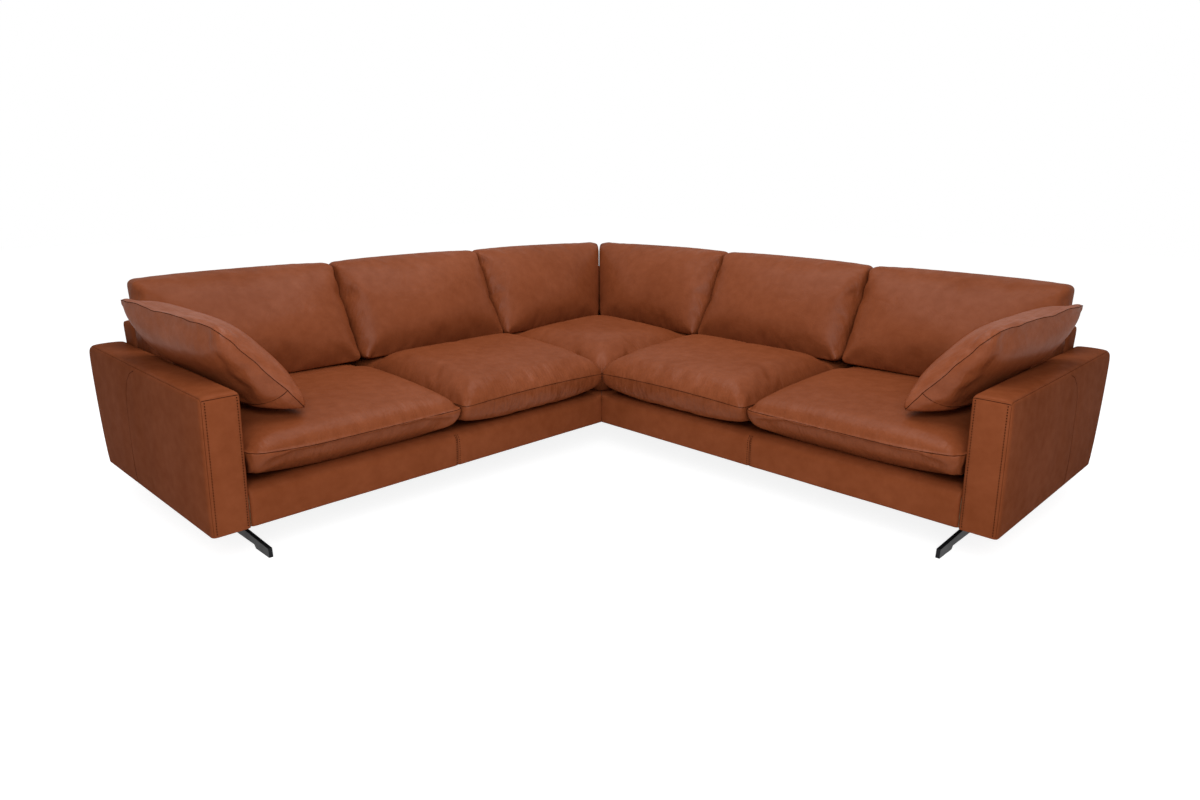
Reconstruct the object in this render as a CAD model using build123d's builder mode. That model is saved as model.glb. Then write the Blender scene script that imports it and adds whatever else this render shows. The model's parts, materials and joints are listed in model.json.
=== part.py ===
import os
from math import radians, sin, tan

from build123d import *

# A corner sofa: two equal wings that meet at a square corner, with loose cushions on a sprung base.
# Lengths are in millimetres. The right wing is drawn, and its twin is mirrored about the mitre.
# u runs along the right wing from the outer corner, v from the back to the front, z up from the floor.

# Overall sizes
side_length = 2810
wing_depth = 1080
leg_height = 130
fit = 0.3
cut_margin = 1

# Seat base: timber rails behind a padded leather apron
apron_height = 128
apron_padding = 12
apron_top_padding = 18
apron_round = 22
apron_flap = 34
rail_thickness = 40
board_thickness = 28
leg_block_width = 105
dust_cover_thickness = 2
dust_cover_inset = 3
module_gap = 10

# Back: a leaning frame with webbing, closed in a leather cover
back_height = 660
back_lean = 11.7
back_thickness = 115
back_wall = 8
back_padding = 12
back_round = 18
upright_width = 60
upright_spacing = 420
frame_rail_height = 100
webbing_thickness = 2.4
webbing_width = 60
webbing_rows = 4

# Arms: a slim timber frame in a padded leather cover
arm_width = 125
arm_height = 582
arm_padding = 12
arm_front_round = 20
arm_rear_round = 50
arm_edge_round = 9
arm_board = 100

# Zigzag springs, their clips and the deck over them
spring_wire = 4
spring_bends = 13
spring_bend_angle = 70
spring_end_run = 25
springs_per_bay = 3
clip_length = 16
clip_width = 20
clip_height = 12
clip_setback = 1
deck_thickness = 6

# Seat cushions
seat_split = 1852
seat_side_gap = 3
seat_rear_gap = 5
seat_thickness = 165
seat_crown = 24
seat_side_drop = 42
seat_shoulder_drop = 15
seat_shoulder = 70
seat_seam_height = 100
seat_tuck = 80
seat_overhang = 2
seat_side_setback = 14

# Back cushions
back_split = 1052
back_cushion_height = 413
back_cushion_foot = 225
back_cushion_head = 88
back_cushion_crown = 55
back_shoulder_crown = 38
back_side_crown = 18
back_side_drop = 8
back_corner_drop = 16
back_cushion_gap = 2
back_cushion_round = 28
back_cushion_foot_round = 40
back_shoulder = 70
mitre_gap = 5

# Arm pillows, each leaning over an arm's inner edge
pillow_rear = 318
pillow_foot_share = 0.8
pillow_thickness = 205
pillow_shoulder = 160
pillow_shoulder_share = 0.2
pillow_edge = 14
pillow_front_inset = 148
pillow_rise = 168
pillow_back_rise = 41
pillow_overhang = -4
pillow_swing = 98
pillow_reach = 292
pillow_seat_gap = 16

# Blade legs under the wing ends
leg_inset = 184
leg_blade = 14
leg_toe_inset = 17
leg_rear_toe = 150
leg_toe_length = 100
leg_nose_height = 31
leg_nose_rake = 4
leg_step_height = 11
leg_ridge_length = 195
leg_ridge_height = 41
leg_sole_length = 258
leg_plate_gap = 37
leg_plate_length = 116
leg_plate_width = 70
leg_plate_thickness = 5
leg_bend_round = 20
leg_screw_size = 5
leg_screw_head = 9.5
leg_screw_head_height = 3
leg_screw_length = 40
leg_screw_edge = 10

# Bolts that hold the arms to the seat base
arm_bolt_size = 8
arm_bolt_head = 13
arm_bolt_head_height = 6
arm_bolt_reach = 50
arm_bolt_height = 58
arm_bolt_depths = (400, 800)

# Support feet in the shade of the base
foot_top = 60
foot_bottom = 46
foot_stud = 8
foot_stud_length = 40
glide_size = 42
glide_thickness = 3
foot_depth = 640
rear_foot_depth = 290
corner_foot_place = 700

# Interlocking connectors between the corner and the wings
connector_length = 60
connector_sheet = 2.5
connector_tongue = 1.4
connector_foot = 28
connector_plate_height = 50
connector_lip = 16
connector_depths = (450, 850)

# Heights and planes that follow from the sizes above
half = side_length / 2
arm_inner = side_length - arm_width
lean = tan(radians(back_lean))
timber_bottom = leg_height + dust_cover_thickness + fit
apron_top = leg_height + apron_height
rail_top = apron_top - apron_top_padding
spring_height = rail_top + clip_height / 2
deck_bottom = rail_top + clip_height + fit
deck_top = deck_bottom + deck_thickness
webbing_room = webbing_thickness + 2 * fit
rail_front = wing_depth - apron_padding - fit
rail_rear = rail_front - rail_thickness
corner_side = wing_depth - module_gap / 2
wing_side = wing_depth + module_gap / 2
wing_end = arm_inner - fit
block_start = wing_end - leg_block_width
seat_bottom = deck_top + fit
seat_land = seat_bottom + seat_thickness
seat_seam = seat_bottom + seat_seam_height
back_seat = seat_land + fit
mitre_plane = Plane(origin=(0, 0, 0), z_dir=(1, 1, 0))


def back_line(z):
    """Depth of the back's leaning outer face at height z."""
    return (back_height - z) * lean


def back_front(z):
    """Depth of the leaning face that the back cushions rest against."""
    return back_line(z) + back_thickness


def frame_rear(z):
    """Depth of the back frame's rear face, inside the cover's wall."""
    return back_line(z) + back_wall + fit


def frame_front(z):
    """Depth of the back frame's front face, behind the webbing and the padding."""
    return back_front(z) - back_padding - webbing_room


def spring_rail_front(z):
    """Depth of the front face of the rail that carries the springs' rear ends."""
    return frame_front(z) + board_thickness


cushion_rear = back_front(back_seat) + back_cushion_gap
land_depth = cushion_rear + back_cushion_foot
seat_rear = back_front(seat_bottom) + seat_rear_gap
deck_rear = frame_front(deck_bottom) + fit
deck_front = wing_depth - apron_flap - fit


def at(u, v, z):
    """A point of the right wing in the part's own axes."""
    return (u - half, half - v, z)


def section(u):
    """A plane across the right wing, facing the outer corner: sketch x is v and sketch y is z."""
    return Plane(origin=at(u, 0, 0), x_dir=(0, -1, 0), z_dir=(-1, 0, 0))


def block(u, v, z):
    """A box between pairs of limits along the wing, across it and up."""
    with Locations(at(u[0], v[1], z[0])):
        Box(u[1] - u[0], v[1] - v[0], z[1] - z[0], align=(Align.MIN, Align.MIN, Align.MIN))


def leaning(rear, front, low, high):
    """A profile between two depth functions, so that both its faces follow the back's lean."""
    Polygon((rear(low), low), (front(low), low), (front(high), high), (rear(high), high), align=None)


def bores(points, size, low, high):
    """Upright round holes at points (u, v), between two heights."""
    for u, v in points:
        with Locations(at(u, v, low)):
            Cylinder(size / 2, high - low, align=(Align.CENTER, Align.CENTER, Align.MIN), mode=Mode.SUBTRACT)


def write(piece, name):
    piece.label = name
    export_step(piece, f"parts/{name}.step")


def twin(piece):
    """The same piece on the left wing."""
    with BuildPart() as mirrored:
        mirror(piece, about=mitre_plane)
    return mirrored.part


def write_pair(piece, name):
    write(piece, f"right_{name}")
    write(twin(piece), f"left_{name}")


def write_both(piece, name):
    """One node that holds a group on the right wing and the same group on the left."""
    with BuildPart() as both:
        add(piece)
        add(twin(piece))
    write(both.part, name)


os.makedirs("parts", exist_ok=True)

# Blade legs: a flat toe, a low sole and a rising arm under a screwed plate
leg_u = side_length - leg_inset
plate_bottom = leg_height - leg_plate_thickness
plate_end = (wing_depth - leg_toe_inset - leg_rear_toe - leg_plate_gap) / 2
plate_start = plate_end - leg_plate_length
front_toe = wing_depth - leg_toe_inset
leg_stances = {"front_leg": (front_toe, -1), "rear_leg": (leg_rear_toe, 1)}
leg_screw_side = leg_plate_width / 2 - leg_screw_edge
leg_screw_points = [
    (leg_u + side * leg_screw_side, toe + direction * along)
    for toe, direction in leg_stances.values()
    for side in (-1, 1)
    for along in (plate_start + leg_screw_edge, plate_end - leg_screw_edge)
]
leg_screw_hole = leg_screw_size + 2 * fit
leg_outline = (
    (0, 0),
    (leg_nose_rake, leg_nose_height),
    (leg_ridge_length, leg_ridge_height),
    (plate_start, plate_bottom),
    (plate_end, plate_bottom),
    (leg_sole_length, leg_step_height),
    (leg_toe_length + leg_step_height, leg_step_height),
    (leg_toe_length, 0),
)


def blade_leg(toe, direction):
    bends = [toe + direction * along for along in (leg_ridge_length, leg_sole_length)]
    plate_depths = sorted(toe + direction * along for along in (plate_start, plate_end))
    with BuildPart() as leg:
        with BuildSketch(section(leg_u + leg_blade / 2)) as profile:
            Polygon(*[(toe + direction * along, z) for along, z in leg_outline], align=None)
            corners = profile.vertices().filter_by(lambda corner: min(abs(corner.X - v) for v in bends) < fit)
            fillet(corners, radius=leg_bend_round)
        extrude(amount=leg_blade)
        block(
            (leg_u - leg_plate_width / 2, leg_u + leg_plate_width / 2),
            plate_depths,
            (plate_bottom, leg_height),
        )
        bores(leg_screw_points, leg_screw_hole, plate_bottom - cut_margin, leg_height + cut_margin)
    return leg.part


for leg_name, (toe, direction) in leg_stances.items():
    write_pair(blade_leg(toe, direction), leg_name)

with BuildPart() as leg_screws:
    for u, v in leg_screw_points:
        with Locations(at(u, v, plate_bottom)):
            Cylinder(leg_screw_size / 2, leg_screw_length, align=(Align.CENTER, Align.CENTER, Align.MIN))
            Cylinder(
                leg_screw_head / 2,
                leg_screw_head_height,
                align=(Align.CENTER, Align.CENTER, Align.MAX),
            )
write_both(leg_screws.part, "leg_screws")

# Support feet: tapered plastic with a threaded stud, on felt glides
spring_rail_middle = (frame_front(timber_bottom) + spring_rail_front(timber_bottom)) / 2
corner_rail_middle = corner_side - board_thickness / 2
wing_foot_points = [(seat_split, foot_depth), (seat_split, rear_foot_depth)]
corner_foot_points = [(corner_rail_middle, foot_depth), (corner_foot_place, spring_rail_middle)]
foot_stud_hole = foot_stud + 2 * fit
stud_top = leg_height + foot_stud_length

with BuildPart() as feet:
    for u, v in wing_foot_points + corner_foot_points:
        with Locations(at(u, v, glide_thickness)):
            Cone(
                foot_bottom / 2,
                foot_top / 2,
                leg_height - glide_thickness,
                align=(Align.CENTER, Align.CENTER, Align.MIN),
            )
        with Locations(at(u, v, leg_height)):
            Cylinder(foot_stud / 2, foot_stud_length, align=(Align.CENTER, Align.CENTER, Align.MIN))
write_both(feet.part, "support_feet")

with BuildPart() as glides:
    for u, v in wing_foot_points + corner_foot_points:
        with Locations(at(u, v, 0)):
            Cylinder(glide_size / 2, glide_thickness, align=(Align.CENTER, Align.CENTER, Align.MIN))
write_both(glides.part, "glides")

# Dust covers: cloth stapled under the rails
cloth_rear = back_line(leg_height) + dust_cover_inset
cloth = (leg_height, leg_height + dust_cover_thickness)
with BuildPart() as dust_cover:
    block((wing_side, wing_end), (cloth_rear, rail_front), cloth)
    bores(leg_screw_points, leg_screw_hole, cloth[0] - cut_margin, cloth[1] + cut_margin)
    bores(wing_foot_points, foot_stud_hole, cloth[0] - cut_margin, cloth[1] + cut_margin)
write_pair(dust_cover.part, "dust_cover")

with BuildPart() as corner_dust_cover:
    block((cloth_rear, corner_side), (cloth_rear, corner_side), cloth)
    bores(corner_foot_points, foot_stud_hole, cloth[0] - cut_margin, cloth[1] + cut_margin)
    for u, v in corner_foot_points:
        bores([(v, u)], foot_stud_hole, cloth[0] - cut_margin, cloth[1] + cut_margin)
write(corner_dust_cover.part, "corner_dust_cover")

# Timber seat base of a wing
with BuildPart() as front_rail:
    block((wing_side, wing_end), (rail_rear, rail_front), (timber_bottom, rail_top))
write_pair(front_rail.part, "front_rail")

with BuildPart() as spring_rail:
    with BuildSketch(section(wing_end)):
        leaning(frame_front, spring_rail_front, timber_bottom, rail_top)
    extrude(amount=wing_end - wing_side)
write_pair(spring_rail.part, "spring_rail")


def cross_rail(u_end, thickness, front):
    """A board from the spring rail to the front, its rear end cut to the lean."""
    with BuildPart() as rail:
        with BuildSketch(section(u_end)):
            leaning(lambda z: spring_rail_front(z) + fit, lambda z: front, timber_bottom, rail_top)
        extrude(amount=thickness)
    return rail.part


arm_bolt_level = timber_bottom + arm_bolt_height
arm_bolt_hole = arm_bolt_size + 2 * fit


def bolt_holes(u_start, u_end):
    """Level holes along the wing for the arm bolts."""
    for v in arm_bolt_depths:
        with Locations(at((u_start + u_end) / 2, v, arm_bolt_level)):
            Cylinder(arm_bolt_hole / 2, u_end - u_start, rotation=(0, 90, 0), mode=Mode.SUBTRACT)


with BuildPart() as cross_rails:
    add(cross_rail(wing_side + board_thickness, board_thickness, rail_rear))
    add(cross_rail(seat_split + board_thickness / 2, board_thickness, rail_rear))
    add(cross_rail(wing_end, leg_block_width, rail_rear))
    bolt_holes(block_start - cut_margin, wing_end + cut_margin)
    bores(leg_screw_points, leg_screw_hole, timber_bottom - cut_margin, plate_bottom + leg_screw_length + fit)
    bores(wing_foot_points, foot_stud_hole, timber_bottom - cut_margin, stud_top + fit)
write_pair(cross_rails.part, "cross_rails")

with BuildPart() as arm_bolts:
    with BuildSketch(section(arm_inner + arm_padding + arm_bolt_reach)):
        with Locations(*[(v, arm_bolt_level) for v in arm_bolt_depths]):
            Circle(arm_bolt_size / 2)
    extrude(amount=arm_padding + arm_bolt_reach + fit + leg_block_width)
    with BuildSketch(section(block_start)):
        with Locations(*[(v, arm_bolt_level) for v in arm_bolt_depths]):
            RegularPolygon(arm_bolt_head / 2, 6)
    extrude(amount=arm_bolt_head_height)
write_both(arm_bolts.part, "arm_bolts")

# Timber seat base of the corner: a board beside each wing and a rail along each back
with BuildPart() as corner_rail:
    add(cross_rail(corner_side, board_thickness, corner_side))
    bores(corner_foot_points[:1], foot_stud_hole, timber_bottom - cut_margin, stud_top + fit)

with BuildPart() as short_corner_rail:
    add(cross_rail(corner_side, board_thickness, corner_side - board_thickness - fit))
    bores(corner_foot_points[:1], foot_stud_hole, timber_bottom - cut_margin, stud_top + fit)

with BuildPart() as corner_spring_rail:
    with BuildSketch(section(corner_side)):
        leaning(frame_front, spring_rail_front, timber_bottom, rail_top)
    extrude(amount=corner_side)
    split(bisect_by=mitre_plane.offset(fit / 2), keep=Keep.TOP)
    bores(corner_foot_points[1:], foot_stud_hole, timber_bottom - cut_margin, stud_top + fit)

with BuildPart() as corner_rails:
    add(corner_rail.part)
    add(twin(short_corner_rail.part))
    add(corner_spring_rail.part)
    add(twin(corner_spring_rail.part))
write(corner_rails.part, "corner_rails")

# Connectors: a hook on each wing drops behind a lip on the corner
connector_bottom = timber_bottom + connector_foot
connector_top = connector_bottom + connector_plate_height
lip_top = connector_bottom + connector_sheet + connector_lip
lip_wall = (wing_side - connector_sheet - fit - connector_sheet, wing_side - connector_sheet - fit)
tongue = (lip_wall[0] - fit - connector_tongue, lip_wall[0] - fit)

with BuildPart() as connector_plates:
    for v in connector_depths:
        span = (v - connector_length / 2, v + connector_length / 2)
        block((corner_side, corner_side + connector_sheet), span, (connector_bottom, connector_top))
        block((corner_side, lip_wall[1]), span, (connector_bottom, connector_bottom + connector_sheet))
        block(lip_wall, span, (connector_bottom, lip_top))
write_both(connector_plates.part, "connector_plates")

with BuildPart() as connector_hooks:
    for v in connector_depths:
        span = (v - connector_length / 2, v + connector_length / 2)
        bridge = (lip_top + fit, lip_top + fit + connector_sheet)
        block((wing_side - connector_sheet, wing_side), span, (connector_bottom, connector_top))
        block((tongue[0], wing_side), span, bridge)
        block(tongue, span, (connector_bottom + connector_sheet + fit, bridge[1]))
write_both(connector_hooks.part, "connector_hooks")

# Zigzag springs, drawn once from the spring rail to the front rail
clip_rear = (frame_front(rail_top) + spring_rail_front(rail_top) - clip_length) / 2
clip_front = rail_rear + clip_setback + clip_length
spring_span = clip_front - clip_rear
bend_radius = (spring_span - 2 * spring_end_run) / (2 * (spring_bends + 1) * sin(radians(spring_bend_angle)))
spring_sway = bend_radius * (1 - sin(radians(90 - spring_bend_angle)))

with BuildPart() as spring:
    with BuildLine() as wave:
        run = Line((0, 0), (0, -spring_end_run))
        bend = JernArc(run @ 1, run % 1, bend_radius, spring_bend_angle)
        for number in range(spring_bends):
            turn = 2 * spring_bend_angle * (1 if number % 2 else -1)
            bend = JernArc(bend @ 1, bend % 1, bend_radius, turn)
        bend = JernArc(bend @ 1, bend % 1, bend_radius, spring_bend_angle)
        Line(bend @ 1, (0, -spring_span))
    with BuildSketch(Plane(origin=(0, 0, 0), z_dir=(0, -1, 0))):
        Circle(spring_wire / 2)
    sweep(path=wave.line)

with BuildPart() as clip:
    with Locations((0, 0, -clip_height / 2)):
        Box(clip_width, clip_length, clip_height, align=(Align.CENTER, Align.MAX, Align.MIN))
    with Locations((0, -clip_length / 2, 0)):
        Cylinder(spring_wire / 2 + fit, clip_length + 2 * cut_margin, rotation=(90, 0, 0), mode=Mode.SUBTRACT)


def bay_places(start, end):
    """Where the springs of one bay start, evenly spread, each wave centred on its place."""
    pitch = (end - start) / springs_per_bay
    return [start + pitch * (number + 0.5) - spring_sway for number in range(springs_per_bay)]


wing_springs = bay_places(wing_side + board_thickness, seat_split - board_thickness / 2)
wing_springs += bay_places(seat_split + board_thickness / 2, block_start)
corner_springs = bay_places(spring_rail_front(timber_bottom), corner_side - board_thickness)

with BuildPart() as seat_springs:
    with Locations(*[at(u, clip_rear, spring_height) for u in wing_springs]):
        add(spring.part)
write_pair(seat_springs.part, "seat_springs")

with BuildPart() as corner_seat_springs:
    with Locations(*[at(u, clip_rear, spring_height) for u in corner_springs]):
        add(spring.part)
write(corner_seat_springs.part, "corner_springs")

with BuildPart() as wing_clips:
    for v in (clip_rear, clip_front - clip_length):
        with Locations(*[at(u, v, spring_height) for u in wing_springs]):
            add(clip.part)

with BuildPart() as corner_clips:
    for v in (clip_rear, clip_front - clip_length):
        with Locations(*[at(u, v, spring_height) for u in corner_springs]):
            add(clip.part)

with BuildPart() as spring_clips:
    add(wing_clips.part)
    add(twin(wing_clips.part))
    add(corner_clips.part)
write(spring_clips.part, "spring_clips")

# Decks: felt and cloth over the springs, under the loose seat cushions
with BuildPart() as seat_deck:
    block((wing_side, wing_end), (deck_rear, deck_front), (deck_bottom, deck_top))
write_pair(seat_deck.part, "seat_deck")

with BuildPart() as corner_deck:
    block((deck_rear, corner_side), (deck_rear, corner_side), (deck_bottom, deck_top))
write(corner_deck.part, "corner_deck")

# Apron: padded leather over the front rail, rolled over its top edge
with BuildPart() as front_apron:
    with BuildSketch(section(wing_end)) as profile:
        Polygon(
            (wing_depth - apron_padding, leg_height),
            (wing_depth, leg_height),
            (wing_depth, apron_top),
            (wing_depth - apron_flap, apron_top),
            (wing_depth - apron_flap, rail_top + fit),
            (wing_depth - apron_padding, rail_top + fit),
            align=None,
        )
        fillet(profile.vertices().group_by(Axis.Y)[-1].sort_by(Axis.X)[-1], radius=apron_round)
    extrude(amount=wing_end - wing_depth - fit)
write_pair(front_apron.part, "front_apron")

# Arms
arm_corner = arm_rear_round * (1 - 1 / tan(radians((90 - back_lean) / 2)))


def arm_outline(u, bottom, inset):
    """The arm from the side, drawn inwards by inset: upright front, level top, leaning rear."""
    with BuildSketch(section(u)) as outline:
        Polygon(
            (arm_corner + (arm_height - bottom + inset) * lean, bottom - inset),
            (wing_depth, bottom - inset),
            (wing_depth, arm_height),
            (arm_corner, arm_height),
            align=None,
        )
        top = outline.vertices().group_by(Axis.Y)[-1].sort_by(Axis.X)
        fillet(top[0], radius=arm_rear_round)
        top = outline.vertices().group_by(Axis.Y)[-1].sort_by(Axis.X)
        fillet(top[-1], radius=arm_front_round)
        if inset:
            offset(amount=-inset, kind=Kind.INTERSECTION)
    return outline.sketch


with BuildPart() as arm_cover:
    extrude(arm_outline(side_length, leg_height, 0), amount=arm_width)
    rims = arm_cover.faces().filter_by(Axis.X).edges()
    fillet(rims.filter_by(lambda rim: rim.center().Z > leg_height + fit), radius=arm_edge_round)
    hollow = arm_outline(side_length - arm_padding, leg_height - cut_margin, arm_padding)
    extrude(hollow, amount=arm_width - 2 * arm_padding, mode=Mode.SUBTRACT)
    bolt_holes(arm_inner - cut_margin, arm_inner + arm_padding + cut_margin)
write_pair(arm_cover.part, "arm_cover")

with BuildPart() as arm_frame:
    timber = arm_outline(side_length - arm_padding - fit, timber_bottom, arm_padding + fit)
    extrude(timber, amount=arm_width - 2 * arm_padding - 2 * fit)
    window = arm_outline(side_length, timber_bottom + arm_board, arm_padding + fit + arm_board)
    extrude(window, amount=arm_width, mode=Mode.SUBTRACT)
    bolt_holes(arm_inner, arm_inner + arm_padding + arm_bolt_reach + fit)
write_pair(arm_frame.part, "arm_frame")

# Backs: a ladder of timber with webbing across its front, inside a leaning leather cover
wing_back = (wing_depth + fit, wing_end)
corner_back = (0, wing_depth - fit)


def back_cover(u_start, u_end):
    length = u_end - u_start
    with BuildPart() as cover:
        with BuildSketch(section(u_end)):
            leaning(back_line, back_front, timber_bottom, back_height)
        extrude(amount=length)
        fillet(cover.edges().filter_by(Axis.X).group_by(Axis.Z)[-1], radius=back_round)
        with BuildSketch(section(u_end - back_wall)):
            leaning(
                lambda z: back_line(z) + back_wall,
                lambda z: back_front(z) - back_padding,
                timber_bottom - cut_margin,
                back_height - back_padding,
            )
        extrude(amount=length - 2 * back_wall, mode=Mode.SUBTRACT)
        with BuildSketch(section(u_end)):
            leaning(
                frame_front,
                lambda z: back_front(z) + cut_margin,
                timber_bottom - cut_margin,
                deck_top + fit,
            )
        extrude(amount=length, mode=Mode.SUBTRACT)
    return cover.part


def back_frame(u_start, u_end):
    """A ladder whose uprights are evenly spread, no wider apart than the upright spacing."""
    start = u_start + back_wall + fit
    end = u_end - back_wall - fit
    top = back_height - back_padding - fit
    bays = int((end - start) // upright_spacing) + 1
    pitch = (end - start - upright_width) / bays
    with BuildPart() as ladder:
        with BuildSketch(section(end)):
            leaning(frame_rear, frame_front, timber_bottom, top)
        extrude(amount=end - start)
        with BuildSketch(Plane(origin=at(0, 0, 0), x_dir=(1, 0, 0), z_dir=(0, -1, 0))):
            for number in range(bays):
                left = start + upright_width + pitch * number
                with Locations((left, rail_top + frame_rail_height / 2)):
                    Rectangle(
                        pitch - upright_width,
                        top - rail_top - frame_rail_height,
                        align=(Align.MIN, Align.MIN),
                    )
        extrude(amount=2 * back_thickness + back_line(0), mode=Mode.SUBTRACT)
    return ladder.part


def webbing(u_start, u_end):
    """Level elastic straps on the frame's front face, between the deck and the top rail."""
    start = u_start + back_wall + fit
    end = u_end - back_wall - fit
    pitch = (back_height - deck_top) / (webbing_rows + 1)
    with BuildPart() as straps:
        with BuildSketch(section(end)):
            for row in range(webbing_rows):
                middle = deck_top + pitch * (row + 1)
                leaning(
                    lambda z: frame_front(z) + fit,
                    lambda z: frame_front(z) + fit + webbing_thickness,
                    middle - webbing_width / 2,
                    middle + webbing_width / 2,
                )
        extrude(amount=end - start)
    return straps.part


write_pair(back_cover(*wing_back), "back_cover")
write_pair(back_frame(*wing_back), "back_frame")

with BuildPart() as corner_back_cover:
    add(back_cover(*corner_back))
    split(bisect_by=mitre_plane.offset(fit / 2), keep=Keep.TOP)
write_pair(corner_back_cover.part, "corner_back_cover")

with BuildPart() as corner_back_frame:
    add(back_frame(*corner_back))
    split(bisect_by=mitre_plane.offset(fit / 2), keep=Keep.TOP)
write_pair(corner_back_frame.part, "corner_back_frame")

with BuildPart() as corner_webbing:
    add(webbing(*corner_back))
    split(bisect_by=mitre_plane.offset(fit / 2), keep=Keep.TOP)

with BuildPart() as back_webbing:
    add(webbing(*wing_back))
    add(corner_webbing.part)
write_both(back_webbing.part, "back_webbing")


# Seat cushions: level where a back cushion stands, crowned in front of it, tucked under at the front
def seat_profile(u, front, drop):
    crown_depth = (front + land_depth) / 2
    crown_top = seat_land + seat_crown - drop
    sole_front = front - seat_tuck
    with BuildSketch(section(u)) as outline:
        with BuildLine():
            Line((seat_rear, seat_bottom), (sole_front, seat_bottom))
            nose = (front - seat_tuck / 5, (seat_bottom + seat_seam) / 2)
            ThreePointArc((sole_front, seat_bottom), nose, (front, seat_seam))
            ThreePointArc((front, seat_seam), (crown_depth, crown_top), (land_depth, seat_land))
            Line((land_depth, seat_land), (seat_rear, seat_land))
            Line((seat_rear, seat_land), (seat_rear, seat_bottom))
        make_face()
    return outline.sketch


def seat_cushion(start, end, front):
    side_front = front - seat_side_setback
    shoulder_front = front - seat_side_setback / 3
    slices = [
        seat_profile(start, side_front, seat_side_drop),
        seat_profile(start + seat_shoulder, shoulder_front, seat_shoulder_drop),
        seat_profile((start + end) / 2, front, 0),
        seat_profile(end - seat_shoulder, shoulder_front, seat_shoulder_drop),
        seat_profile(end, side_front, seat_side_drop),
    ]
    with BuildPart() as cushion:
        loft(slices)
    return cushion.part


seat_front = wing_depth + seat_overhang
end_seat = (seat_split + seat_side_gap, arm_inner - seat_side_gap)
mid_seat = (wing_depth + seat_side_gap, seat_split - seat_side_gap)
write_pair(seat_cushion(*end_seat, seat_front), "end_seat_cushion")
write_pair(seat_cushion(*mid_seat, seat_front), "mid_seat_cushion")

with BuildPart() as corner_seat_cushion:
    add(seat_cushion(seat_rear, wing_depth - seat_side_gap, wing_depth - seat_side_gap))
    with Locations(at(0, wing_depth, seat_land + fit / 2)):
        Box(
            land_depth + seat_rear_gap,
            wing_depth,
            seat_thickness,
            align=(Align.MIN, Align.MIN, Align.MIN),
            mode=Mode.SUBTRACT,
        )
write(corner_seat_cushion.part, "corner_seat_cushion")


# Back cushions: a leaning wedge, flat on the seat, round along its head and crowned in front
def back_profile(u, crown, drop):
    top = back_seat + back_cushion_height - drop
    head_level = top - back_cushion_round
    head_rear = back_front(head_level) + back_cushion_gap
    head_front = head_rear + back_cushion_head
    foot_front = cushion_rear + back_cushion_foot
    foot_level = back_seat + back_cushion_foot_round
    bulge = Vector(foot_front + head_front, foot_level + head_level) / 2
    across = Vector(head_level - foot_level, foot_front - head_front).normalized()
    bulge += across * crown
    sole_front = foot_front - back_cushion_foot_round / 2
    toe = (foot_front - back_cushion_foot_round / 8, back_seat + back_cushion_foot_round / 3)
    with BuildSketch(section(u)) as outline:
        with BuildLine():
            Line((cushion_rear, back_seat), (sole_front, back_seat))
            ThreePointArc((sole_front, back_seat), toe, (foot_front, foot_level))
            ThreePointArc((foot_front, foot_level), (bulge.X, bulge.Y), (head_front, head_level))
            crest = ((head_front + head_rear) / 2, top)
            ThreePointArc((head_front, head_level), crest, (head_rear, head_level))
            Line((head_rear, head_level), (cushion_rear, back_seat))
        make_face()
    return outline.sketch


def back_cushion(start, end):
    slices = [
        back_profile(start, back_side_crown, back_side_drop),
        back_profile(start + back_shoulder, back_shoulder_crown, 0),
        back_profile((start + end) / 2, back_cushion_crown, 0),
        back_profile(end - back_shoulder, back_shoulder_crown, 0),
        back_profile(end, back_side_crown, back_side_drop),
    ]
    with BuildPart() as cushion:
        loft(slices)
    return cushion.part


write_pair(back_cushion(*end_seat), "end_back_cushion")
write_pair(back_cushion(back_split + seat_side_gap, seat_split - seat_side_gap), "mid_back_cushion")

corner_slices = [
    back_profile(back_thickness / 2, back_side_crown, back_corner_drop),
    back_profile(land_depth, back_shoulder_crown, 0),
    back_profile((land_depth + back_split) / 2, back_cushion_crown, 0),
    back_profile(back_split - seat_side_gap - back_shoulder, back_shoulder_crown, 0),
    back_profile(back_split - seat_side_gap, back_side_crown, back_side_drop),
]
with BuildPart() as corner_back_cushion:
    loft(corner_slices)
    split(bisect_by=mitre_plane.offset(mitre_gap), keep=Keep.TOP)
write_pair(corner_back_cushion.part, "corner_back_cushion")

# Arm pillows: a stuffed oblong with a knife edge, its rear lower corner pressed short by the back cushion
pillow_front = wing_depth - pillow_front_inset
front_top = Vector(*at(arm_inner + pillow_overhang, pillow_front, arm_height + pillow_rise))
rear_run = Vector(pillow_swing, pillow_front - pillow_rear, pillow_back_rise)
front_foot = Vector(front_top.X - pillow_reach, front_top.Y, seat_land + pillow_seat_gap)
pillow_across = rear_run.cross(front_foot - front_top).normalized()


def pillow_profile(share, thickness):
    """A lens across the pillow, at a share of the way from its front edge to its rear edge."""
    head = front_top + rear_run * share
    foot = front_foot + rear_run * (share * pillow_foot_share)
    width = (foot - head).length
    along = (foot - head).normalized()
    with BuildSketch(Plane((head + foot) / 2, along, along.cross(pillow_across))) as outline:
        with BuildLine():
            ThreePointArc((-width / 2, 0), (0, thickness / 2), (width / 2, 0))
            ThreePointArc((width / 2, 0), (0, -thickness / 2), (-width / 2, 0))
        make_face()
    return outline.sketch


pillow_slices = [
    pillow_profile(0, pillow_edge),
    pillow_profile(pillow_shoulder_share, pillow_shoulder),
    pillow_profile(0.5, pillow_thickness),
    pillow_profile(1 - pillow_shoulder_share, pillow_shoulder),
    pillow_profile(1, pillow_edge),
]
with BuildPart() as arm_pillow:
    loft(pillow_slices)
write_pair(arm_pillow.part, "arm_pillow")
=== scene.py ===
import json
import math

import bmesh
import bpy
from mathutils import Matrix, Vector, noise

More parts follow.
